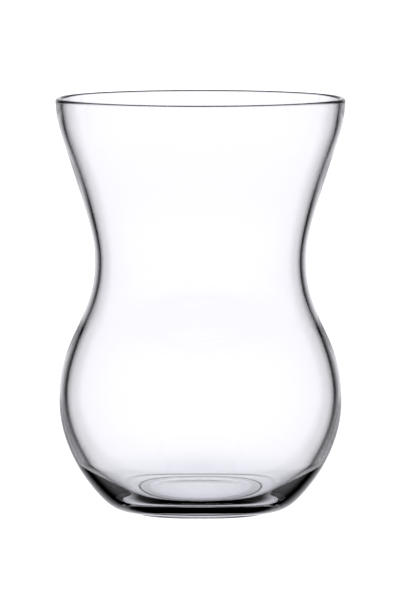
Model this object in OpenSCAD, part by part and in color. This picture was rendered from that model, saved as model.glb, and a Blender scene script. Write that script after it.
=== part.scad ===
// Waisted tea glass: one turned solid of clear glass, standing on the table at z = 0.
// The wall follows two smooth outlines, one outside and one inside. Each outline runs through
// a few stations, and each station says where the surface is and which way it is heading there.

/* [Height] */
// Height from the table to the top of the lip
height = 87.8; // [84:0.1:92]
// Height of the widest part of the belly
belly_z = 23.9; // [21:0.1:26]
// Height of the narrowest part of the waist
waist_z = 53.2; // [50:0.1:56]

/* [Radii, outside] */
// Radius of the bearing ring that the glass stands on
ring_r = 13.2; // [11:0.1:15]
// Radius of the heel, where the underside turns up
heel_r = 19.45; // [18:0.05:21]
// Radius of the lower wall, half way up to the belly
base_r = 26.1; // [25:0.1:27]
// Radius of the belly at its widest
belly_r = 29.77; // [28:0.01:31]
// Radius half way between the belly and the waist
shoulder_r = 26.23; // [25:0.01:27]
// Radius of the waist at its narrowest
waist_r = 22.19; // [21:0.01:24]
// Radius half way up the flared bowl
bowl_r = 26.95; // [26:0.05:28]
// Radius at the lip
lip_r = 30.57; // [29.5:0.01:32]

/* [Inside] */
// Height of the inner floor at its middle
floor_z = 4.25; // [3:0.01:4.8]
// How much higher the floor is at its edge
floor_rise = 0.11; // [0:0.01:1.8]
// Radius of the floor at its edge
floor_r = 16.6; // [15:0.01:18.4]
// Radius of the cavity in the lower wall
base_inner_r = 24.21; // [23.5:0.01:24.6]
// Radius of the cavity in the belly
belly_inner_r = 28.16; // [27.8:0.01:28.6]
// Radius of the cavity in the shoulder
shoulder_inner_r = 24.74; // [24:0.01:25.2]
// Radius of the cavity in the waist
waist_inner_r = 20.96; // [20.3:0.01:21.2]
// Radius of the cavity in the bowl
bowl_inner_r = 25.6; // [25:0.05:26]
// Thickness of the lip
lip_wall = 1.25; // [1:0.05:1.6]

/* [Foot] */
// How far the bearing ring stands below the heel
ring_drop = 0.5; // [0.3:0.05:0.8]
// Width of the flat that touches the table
ring_flat = 1.08; // [0.5:0.01:2.8]
// Depth of the hollow under the middle of the base
hollow = 0.23; // [0.1:0.01:2.2]
// Width of the slope between the hollow and the ring
hollow_slope = 1.46; // [0.4:0.01:6]

/* [Hidden] */

glass_color = [0.9, 0.93, 0.95, 0.35];
steps = 12; // straight pieces in each curve between two stations

// A station is [radius, height, heading, reach]. The heading is an angle from straight outwards,
// so 90 is straight up, and the reach is how far the surface keeps to that heading.
heel_z = 2.2;
base_z = 10.5;
shoulder_z = 38.9;
bowl_z = 72.7;
lip_rounding = 0.72;
lip_z = height - lip_rounding;

outer_stations = [
    [ring_r + ring_drop, ring_drop, -1, 2.2],
    [heel_r, heel_z, 37.2, 2.4],
    [base_r, base_z, 61.8, 3.2],
    [belly_r, belly_z, 90, 6],
    [shoulder_r, shoulder_z, 116, 5.3],
    [waist_r, waist_z, 90, 5.6],
    [bowl_r, bowl_z, 72.2, 10.3],
    [lip_r, lip_z, 86, 4.5]
];

// The floor is nearly flat out to its own edge, then turns up into the wall.
inner_stations = [
    [0, floor_z, 0, 6.56],
    [floor_r, floor_z + floor_rise, 5.5, 1.54],
    [base_inner_r, 11.52, 59.8, 3.01],
    [belly_inner_r, 24.6, 90, 5.92],
    [shoulder_inner_r, shoulder_z, 110.9, 3.7],
    [waist_inner_r, waist_z - 0.2, 90, 6.8],
    [bowl_inner_r, bowl_z, 70.8, 6.3],
    [lip_r - lip_wall, lip_z, 86, 4.5]
];

// The underside: a shallow hollow in the middle, its slope, the flat ring, and the ring's outer edge.
under_stations = [
    [0, hollow, 0, 4.4],
    [ring_r - ring_flat - hollow_slope, hollow * 0.2, -4.8, 0.35 * hollow_slope],
    [ring_r - 0.7 * ring_flat, 0, 0, 0.3 * ring_flat],
    [ring_r - 0.15, 0, 0, 0.05],
    [ring_r, ring_drop / 2, 90, 0.12],
    [ring_r + ring_drop, ring_drop, -1, 0.12]
];

// The point at length d from station s, along its heading.
function along(s, d) = [s[0] + d * cos(s[2]), s[1] + d * sin(s[2])];

// A smooth curve from station a to station b, as a cubic with its handles along both headings.
// The point of b itself is left out, because the next curve starts there.
function curve(a, b) = [
    for (i = [0:steps - 1])
        let (t = i / steps, u = 1 - t)
            u * u * u * along(a, 0) + 3 * u * u * t * along(a, a[3])
                + 3 * u * t * t * along(b, -b[3]) + t * t * t * along(b, 0)
];

// All the curves through a list of stations, one after the other.
function outline(stations) = [
    for (k = [0:len(stations) - 2])
        each curve(stations[k], stations[k + 1])
];

function backwards(points) = [for (i = [len(points) - 1:-1:0]) points[i]];

// The lip is half an ellipse over the top of the wall.
lip_mid_r = lip_r - lip_wall / 2;
lip = [
    for (a = [0:15:180])
        [lip_mid_r + lip_wall / 2 * cos(a), lip_z + lip_rounding * sin(a)]
];

module glass() {
    color(glass_color)
        rotate_extrude($fn = 128)
            polygon(concat(
                outline(under_stations),
                outline(outer_stations),
                lip,
                backwards(outline(inner_stations))
            ));
}

glass();
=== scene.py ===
# %% [markdown]
# # A waisted tea glass
#
# The real object is one piece of clear glass, turned about an upright axis. It has a small bearing ring, a
# base, a round belly, a narrow waist to hold it by, and a flared bowl with a fire-polished lip. It is
# empty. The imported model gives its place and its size. It is loaded first and never moved, and everything
# made below sits in its frame, in metres, with the table at z = 0 and the axis of the glass on Z.

# %% Load the frame
import math

import bpy
import numpy as np
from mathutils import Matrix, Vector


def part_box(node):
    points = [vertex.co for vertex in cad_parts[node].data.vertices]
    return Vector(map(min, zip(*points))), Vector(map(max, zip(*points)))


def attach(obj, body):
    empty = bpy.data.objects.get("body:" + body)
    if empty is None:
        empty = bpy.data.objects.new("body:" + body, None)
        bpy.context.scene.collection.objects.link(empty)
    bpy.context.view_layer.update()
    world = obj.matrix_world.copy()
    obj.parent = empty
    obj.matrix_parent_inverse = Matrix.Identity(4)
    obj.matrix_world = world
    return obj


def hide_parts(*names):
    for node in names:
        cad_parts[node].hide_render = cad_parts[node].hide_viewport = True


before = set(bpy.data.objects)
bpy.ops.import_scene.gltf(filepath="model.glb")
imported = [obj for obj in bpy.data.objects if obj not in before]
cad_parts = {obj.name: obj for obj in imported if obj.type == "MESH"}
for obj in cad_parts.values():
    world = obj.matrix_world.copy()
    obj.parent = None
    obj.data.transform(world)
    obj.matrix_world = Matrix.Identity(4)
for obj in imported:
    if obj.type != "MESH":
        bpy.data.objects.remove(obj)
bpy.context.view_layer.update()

MM = 0.001
low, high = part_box("glass")
glass_height = high.z - low.z
glass_width = high.x - low.x
print(f"frame: {sorted(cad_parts)}, {glass_height / MM:.1f} mm tall, {glass_width / MM:.1f} mm wide")

# %% [markdown]
# ## The camera
#
# A glass is shot from far off with a long lens, so that its mouth shows as a thin ellipse and its sides
# keep their true shape. The camera stands a little above the lip and looks slightly down. Clear glass
# should be sharp from front to back, so depth of field stays off.

# %% Camera
camera_distance = 2.5
camera_height = 0.2275
camera_pitch = math.radians(4.175)
lens_mm = 712.7

camera_data = bpy.data.cameras.new("camera")
camera_data.lens = lens_mm
camera_data.sensor_width = 36.0
camera_data.clip_end = 50.0
camera = bpy.data.objects.new("camera", camera_data)
camera.location = (0.0, -camera_distance, camera_height)
camera.rotation_euler = (math.radians(90.0) - camera_pitch, 0.0, 0.0)
bpy.context.scene.collection.objects.link(camera)
bpy.context.scene.camera = camera
print(f"camera: {camera_distance} m away, {camera_height / MM:.1f} mm up, {lens_mm} mm lens")

# %% [markdown]
# ## The outline
#
# A glassmaker draws half of the section. Here each outline runs through a few stations. A station says how
# far out and how high the surface is, which way it is heading there (0 is straight outwards, 90 straight
# up), and how far it keeps to that heading. Between two stations runs a cubic curve. A long list of points
# would show the same shape but hide how it is made, and a few stations stay smooth whatever their values.

# %% Curves through stations
def curve(start, end, steps):
    """One curve between two stations. With t from 0 to 1 and u = 1 - t, its points are
    u^3 A + 3 u^2 t (A + reach along its heading) + 3 u t^2 (B - reach along its heading) + t^3 B."""
    t = np.linspace(0.0, 1.0, steps + 1)[:, None]
    u = 1.0 - t
    first, last = np.array(start[:2]), np.array(end[:2])
    heading_out, heading_in = math.radians(start[2]), math.radians(end[2])
    leave = first + start[3] * np.array([math.cos(heading_out), math.sin(heading_out)])
    arrive = last - end[3] * np.array([math.cos(heading_in), math.sin(heading_in)])
    return u**3 * first + 3 * u**2 * t * leave + 3 * u * t**2 * arrive + t**3 * last


def outline(stations, steps):
    """All the curves through the stations, one after the other, with each joint counted once."""
    curves = [curve(a, b, steps) for a, b in zip(stations, stations[1:])]
    return np.vstack([c[:-1] for c in curves] + [curves[-1][-1:]])


halfway = curve((1.0, 0.0, 0.0, 0.55), (2.0, 1.0, 90.0, 0.55), 4)[2]
print(f"a quarter turn from (1, 0) to (2, 1) passes through {halfway.round(2)}")

# %% [markdown]
# ## Outside, inside and underside
#
# The outside and the inside have stations at the same levels, and the inside ones stand one wall thickness
# further in. The wall is about 1.2 mm at the waist and thickens downwards, as it does when the hot glass
# sinks in its mould, and the base is thickest where the floor turns up into the wall. That heavy corner
# works as a lens and makes the dark and bright bands at the foot, so its shape matters more than any
# other. Underneath, a shallow hollow keeps the middle off the table, and only the narrow ring touches it.

# %% Stations, in millimetres
lip_top = glass_height / MM
lip_radius = glass_width / MM / 2
lip_rounding = 0.72
lip_wall = 1.25

outside = [
    (13.7, 0.5, -1.0, 2.2),       # the heel, just above the bearing ring
    (19.45, 2.2, 37.2, 2.4),      # the underside turns up
    (26.1, 10.5, 61.8, 3.2),      # the lower wall
    (29.77, 23.9, 90.0, 6.0),     # the belly
    (26.23, 38.9, 116.0, 5.3),    # the shoulder
    (22.19, 53.2, 90.0, 5.6),     # the waist
    (26.95, 72.7, 72.2, 10.3),    # the flared bowl
    (lip_radius, lip_top - lip_rounding, 86.0, 4.5),
]
inside = [
    (0.0, 4.25, 0.0, 6.56),       # the middle of the inner floor
    (16.6, 4.36, 5.5, 1.54),      # the edge of the inner floor
    (24.21, 11.52, 59.8, 3.01),   # the lower wall
    (28.16, 24.6, 90.0, 5.92),    # the belly
    (24.74, 38.9, 110.9, 3.7),    # the shoulder
    (20.96, 53.0, 90.0, 6.8),     # the waist
    (25.6, 72.7, 70.8, 6.3),      # the flared bowl
    (lip_radius - lip_wall, lip_top - lip_rounding, 86.0, 4.5),
]
underside = [
    (0.0, 0.23, 0.0, 4.4),        # the hollow
    (10.66, 0.046, -4.8, 0.511),  # its slope
    (12.444, 0.0, 0.0, 0.324),    # the flat of the bearing ring
    (13.05, 0.0, 0.0, 0.05),      # its outer edge
    (13.2, 0.25, 90.0, 0.12),
    (13.7, 0.5, -1.0, 0.12),
]

# %% [markdown]
# ## The lip and the closed section
#
# The lip is fire-polished: a flame melts the cut edge until it rounds itself. Half an ellipse over the wall
# gives that. The whole section then runs from the axis under the glass, up the outside, over the lip, and
# down the inside to the axis again, so that it closes a solid and its faces point outwards.

# %% Section
underside_steps = 8      # straight pieces between two stations
wall_steps = 16
lip_steps = 24


def lip_curve(steps):
    """Half an ellipse from the outside to the inside: middle of the wall + half the wall times cos a
    across, and rounding times sin a up, with a from 0 to 180 degrees."""
    a = np.linspace(0.0, np.pi, steps + 1)[:, None]
    middle = lip_radius - lip_wall / 2
    return np.hstack([middle + lip_wall / 2 * np.cos(a), lip_top - lip_rounding + lip_rounding * np.sin(a)])


section = MM * np.vstack([
    outline(underside, underside_steps)[:-1],
    outline(outside, wall_steps)[:-1],
    lip_curve(lip_steps)[:-1],
    outline(inside, wall_steps)[::-1],
])
print(f"section: {len(section)} points, {section[:, 0].max() / MM:.2f} mm at its widest")

# %% [markdown]
# ## Turning the section
#
# A glass is a surface of revolution, so its mesh is a grid: one direction runs along the section and the
# other round the axis. Blender's Screw modifier could do this, but it leaves doubled points on the axis.
# Here the two end points become one vertex each, closed by a fan of triangles, and the mesh is watertight.
# Light that bends through glass needs that, or it would never know when it is inside.

# %% Lathe
def turned(name, points, segments):
    """Turns a section about Z: x = r cos a, y = r sin a, z = z, with a going once round. The first and the
    last point lie on the axis."""
    rings = points[1:-1]
    a = np.linspace(0.0, 2.0 * np.pi, segments, endpoint=False)
    x = rings[:, :1] * np.cos(a)
    y = rings[:, :1] * np.sin(a)
    z = np.repeat(rings[:, 1:], segments, axis=1)
    poles = [[0.0, 0.0, points[0, 1]], [0.0, 0.0, points[-1, 1]]]
    vertices = np.vstack([np.stack([x, y, z], axis=-1).reshape(-1, 3), poles])
    under_pole, floor_pole = len(vertices) - 2, len(vertices) - 1

    row = np.arange(len(rings) - 1)[:, None] * segments
    here = np.arange(segments)
    beside = (here + 1) % segments
    quads = np.stack([row + here, row + beside, row + segments + beside, row + segments + here], axis=-1)
    last_row = (len(rings) - 1) * segments
    under_fan = np.stack([np.full(segments, under_pole), beside, here], axis=-1)
    floor_fan = np.stack([np.full(segments, floor_pole), last_row + here, last_row + beside], axis=-1)

    mesh = bpy.data.meshes.new(name)
    faces = quads.reshape(-1, 4).tolist() + under_fan.tolist() + floor_fan.tolist()
    mesh.from_pydata(vertices.tolist(), [], faces)
    mesh.polygons.foreach_set("use_smooth", np.ones(len(mesh.polygons), dtype=bool))
    mesh.update()
    piece = bpy.data.objects.new(name, mesh)
    bpy.context.scene.collection.objects.link(piece)
    return piece


segments_round = 240
tea_glass = turned("tea_glass", section, segments_round)
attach(tea_glass, "root")
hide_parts("glass")
print(f"tea_glass: {len(tea_glass.data.polygons)} faces")

# %% [markdown]
# ## Shader maths
#
# Blender's materials are graphs of nodes. Written out node by node, a formula gets lost among its links. A
# small class wraps one socket, so that + - * / in Python add the Math nodes, and one method adds any other
# node with its settings and its inputs.

# %% A socket that can be calculated with
class Wire:
    """One output socket in a node tree, or only the tree when there is no socket yet."""

    def __init__(self, tree, socket=None):
        self.tree, self.socket = tree, socket

    def node(self, kind, settings=None, inputs=None, output=0):
        made = self.tree.nodes.new(kind)
        for name, value in (settings or {}).items():
            setattr(made, name, value)
        for key, value in (inputs or {}).items():
            if isinstance(value, Wire):
                self.tree.links.new(value.socket, made.inputs[key])
            else:
                made.inputs[key].default_value = value
        return Wire(self.tree, made.outputs[output] if made.outputs else None)

    def calculate(self, operation, *values):
        return self.node("ShaderNodeMath", {"operation": operation}, dict(enumerate(values)))

    def math(self, operation, *others):
        return self.calculate(operation, self, *others)

    def to(self, socket):
        self.tree.links.new(self.socket, socket)

    def __add__(self, other):
        return self.calculate("ADD", self, other)

    def __sub__(self, other):
        return self.calculate("SUBTRACT", self, other)

    def __mul__(self, other):
        return self.calculate("MULTIPLY", self, other)

    def __truediv__(self, other):
        return self.calculate("DIVIDE", self, other)

    def __rsub__(self, other):
        return self.calculate("SUBTRACT", other, self)

    def __rmul__(self, other):
        return self.calculate("MULTIPLY", other, self)

    __radd__ = __add__


def step(value, start, end):
    """A soft step: 0 where the value is at start, 1 where it is at end, with no corner between."""
    settings = {"interpolation_type": "SMOOTHSTEP"}
    return value.node("ShaderNodeMapRange", settings, {"Value": value, "From Min": start, "From Max": end})


def place(tree):
    """The point on the piece: x, y and z in metres, as Object coordinates, and the vector itself."""
    point = Wire(tree).node("ShaderNodeTexCoord", output="Object")
    split = point.node("ShaderNodeSeparateXYZ", None, {0: point})
    return (*[Wire(tree, part) for part in split.socket.node.outputs], point)


print("shader maths: + - * / and soft steps")

# %% [markdown]
# ## Clear glass
#
# Soda-lime glass bends light by a factor of about 1.52. Below 10 mm it is painted grey and a little cool,
# fully so under 4 mm. The cool cast is the faint tint of thick glass, and most of the grey is painted shade:
# the shaded table seen through the base. It is never quite even: the mould and the tool leave faint waves in
# the wall, and the plunger leaves low ripples on the inner floor. They are no more than a hundredth of a
# millimetre or so high, so they are made with bump and not with geometry. The bearing ring slides on tables
# and saucers and has gone matt, so the roughness rises there.

# %% Glass material
glass_ior = 1.52
clear = (1.0, 1.0, 1.0, 1.0)
# The grey for the base is mostly painted shade, with a faint cool tint of thick glass.
base_tint_and_shade = (0.84, 0.845, 0.87, 1.0)
tint_and_shade_from, tint_and_shade_to = 10.0 * MM, 4.0 * MM         # heights over which the base turns grey
ring_matt = 0.25                                   # least roughness of the worn ring
scratch_depth = 0.10                               # how much the scratches add to it
wave_height, ripple_height = 0.012 * MM, 0.010 * MM

material = bpy.data.materials.new("clear_glass")
material.use_nodes = True
glass_tree = material.node_tree
shader = glass_tree.nodes["Principled BSDF"]
shader.inputs["IOR"].default_value = glass_ior
shader.inputs["Transmission Weight"].default_value = 1.0
x, y, z, point = place(glass_tree)
radius = (x * x + y * y).math("SQRT")


def noise(scale, detail):
    """A noise texture from 0 to 1. Its scale is the number of blotches in a metre."""
    return point.node("ShaderNodeTexNoise", None, {"Vector": point, "Scale": scale, "Detail": detail})


# Painted shade: the glass is greyed from 10 mm down to 4 mm, with a faint cool glass tint.
in_base = step(z, tint_and_shade_from, tint_and_shade_to)
tint = in_base.node("ShaderNodeMix", {"data_type": "RGBA"}, {0: in_base, 6: clear, 7: base_tint_and_shade}, output=2)
tint.to(shader.inputs["Base Color"])

on_ring = step(z, 0.6 * MM, 0.1 * MM) * step(radius, 10.5 * MM, 11.5 * MM)
(on_ring * (ring_matt + scratch_depth * noise(900.0, 3.0))).to(shader.inputs["Roughness"])

on_floor = step(z, 1.5 * MM, 2.0 * MM) * step(z, 7.0 * MM, 5.0 * MM) * step(radius, 17.0 * MM, 12.0 * MM)
height = wave_height * noise(60.0, 1.0) + ripple_height * on_floor * noise(160.0, 2.0)
bump = height.node("ShaderNodeBump", None, {"Height": height, "Strength": 1.0, "Distance": 1.0})
bump.to(shader.inputs["Normal"])
tea_glass.data.materials.append(material)
print(f"clear_glass: {len(glass_tree.nodes)} nodes, bends light by {glass_ior}")

# %% [markdown]
# ## What stands behind clear glass
#
# Clear glass has no look of its own: it shows whatever its surfaces bend and mirror into view. So the light
# is drawn as a tent round the glass, whose inside glows. Straight behind the glass is a bright sheet that
# fades towards its sides. Beside it stand black cards, and they draw the dark line along each edge of the
# wall. Further round, the walls of the room are bright and put a soft grey into the edges. Low down all
# is dark, which blackens the thick base. The tent hangs on the camera, so its light turns with every view
# and each view is lit alike. The camera and the floor don't see it, because it is there for the glass only.

# %% Light tent
tent_radius = 20.0
sheet_brightness = 1.04
sheet_end = 28.4         # degrees from the middle of the sheet to where it is out
sheet_power = 1.42       # 1 would fade it evenly, and more keeps the middle bright
wall_brightness = 1.05
tint_of_light = (0.985, 0.98, 1.04)


def tent_mesh(name, across, up):
    """A sphere seen from inside: x = r cos e sin a, y = r sin e, z = -r cos e cos a, with the azimuth a
    once round and the elevation e from the bottom to the top."""
    a = np.linspace(-np.pi, np.pi, across + 1)[None, :]
    e = np.linspace(-np.pi / 2, np.pi / 2, up + 1)[:, None]
    grid = np.stack([np.cos(e) * np.sin(a), np.sin(e) + 0.0 * a, -np.cos(e) * np.cos(a)], axis=-1)
    corner = (np.arange(up)[:, None] * (across + 1) + np.arange(across)[None, :]).reshape(-1)
    quads = np.stack([corner, corner + across + 1, corner + across + 2, corner + 1], axis=-1)
    mesh = bpy.data.meshes.new(name)
    mesh.from_pydata((tent_radius * grid.reshape(-1, 3)).tolist(), [], quads.tolist())
    return mesh


def fade(angle, end, power):
    """How bright the sheet still is at an angle from its middle: 1 - (angle / end)^power, and 0 past the
    end."""
    share = (angle / end).math("MINIMUM", 1.0)
    return 1.0 - share.math("POWER", power)


tent_material = bpy.data.materials.new("light_tent")
tent_material.use_nodes = True
tent_material.cycles.emission_sampling = "NONE"
tent_tree = tent_material.node_tree
tent_tree.nodes.clear()
tx, ty, tz, _ = place(tent_tree)
to_degrees = 180.0 / math.pi
azimuth = to_degrees * tx.math("ABSOLUTE").math("ARCTAN2", 0.0 - tz)
elevation = to_degrees * (ty / tent_radius).math("ARCSINE")

# Each step is in degrees: from where the light is out to where it is full.
sheet = sheet_brightness * fade(azimuth, sheet_end, sheet_power)
sheet = sheet * step(elevation, -42.0, -27.0) * step(elevation, 85.0, 50.0)
walls = wall_brightness * step(azimuth, 33.1, 54.0)
walls = walls * step(elevation, -72.0, -18.0) * step(elevation, 88.5, 66.9)
glowing = tx.node("ShaderNodeVectorMath", {"operation": "SCALE"}, {0: tint_of_light, "Scale": sheet + walls})
light = tx.node("ShaderNodeEmission", None, {"Color": glowing})
tx.node("ShaderNodeOutputMaterial", None, {"Surface": light})

tent = bpy.data.objects.new("light_tent", tent_mesh("light_tent", across=96, up=48))
tent.data.materials.append(tent_material)
bpy.context.scene.collection.objects.link(tent)
tent.parent = camera
tent.location = (0.0, 0.0, -camera_distance)
tent.rotation_euler = (camera_pitch, 0.0, 0.0)
tent.visible_camera = False
tent.visible_diffuse = False
tent.visible_shadow = False
print(f"light tent: {len(tent_tree.nodes)} nodes, {tent_radius:.0f} m round the glass")

# %% [markdown]
# ## Floor, background and the light on them
#
# The glass stands on a plain pale floor before a plain white background. A broad sun from above lights the
# floor softly. It isn't seen in the glass, and neither is the floor, so the two don't disturb what the tent
# draws. The glass throws no shadow, and the floor runs evenly into the background. The world is white for
# the camera alone, through the Light Path node.

# %% Floor and background
floor_half = 4.0
floor_colour = (0.9, 0.9, 0.9, 1.0)
background_brightness = 1.3
sun_strength = 5.0
sun_spread = math.radians(90.0)

corners = floor_half * np.array([(-1, -1, 0), (1, -1, 0), (1, 1, 0), (-1, 1, 0)])
floor_mesh = bpy.data.meshes.new("floor")
floor_mesh.from_pydata(corners.tolist(), [], [(0, 1, 2, 3)])
floor = bpy.data.objects.new("floor", floor_mesh)
bpy.context.scene.collection.objects.link(floor)
floor_material = bpy.data.materials.new("pale_floor")
floor_material.use_nodes = True
floor_material.node_tree.nodes["Principled BSDF"].inputs["Base Color"].default_value = floor_colour
floor_mesh.materials.append(floor_material)
floor.visible_transmission = False
floor.visible_glossy = False

soft_top = bpy.data.lights.new("soft_top", "SUN")
soft_top.energy = sun_strength
soft_top.angle = sun_spread
soft_top_lamp = bpy.data.objects.new("soft_top", soft_top)
soft_top_lamp.visible_glossy = False
soft_top_lamp.visible_transmission = False
bpy.context.scene.collection.objects.link(soft_top_lamp)

world = bpy.data.worlds.new("studio")
world.use_nodes = True
bpy.context.scene.world = world
backdrop = world.node_tree.nodes["Background"]
backdrop.inputs["Color"].default_value = (1.0, 1.0, 1.0, 1.0)
seen = Wire(world.node_tree).node("ShaderNodeLightPath", output="Is Camera Ray")
(background_brightness * seen).to(backdrop.inputs["Strength"])
tea_glass.visible_shadow = False
print(f"floor: {2 * floor_half:.0f} m square, background {background_brightness} for the camera only")

# %% [markdown]
# ## How light is followed
#
# Most light crosses the thin wall four times and is done. A ray that enters the thick base can be mirrored
# inside it many times, and it leaves wherever chance sends it. With many bounces most of these rays end in
# the bright walls of the tent, and the heel turns white. Round a real glass they may end in dark things that
# the tent doesn't have. So the number of bounces is kept low here on purpose, and a ray that isn't out by
# then stays black. The Standard view transform keeps a white background white.

# %% Bounces and colour
bounces = 7
scene = bpy.context.scene
scene.cycles.max_bounces = bounces
scene.cycles.transmission_bounces = bounces
scene.cycles.glossy_bounces = bounces
scene.view_settings.view_transform = "Standard"
print(f"light: up to {bounces} bounces")
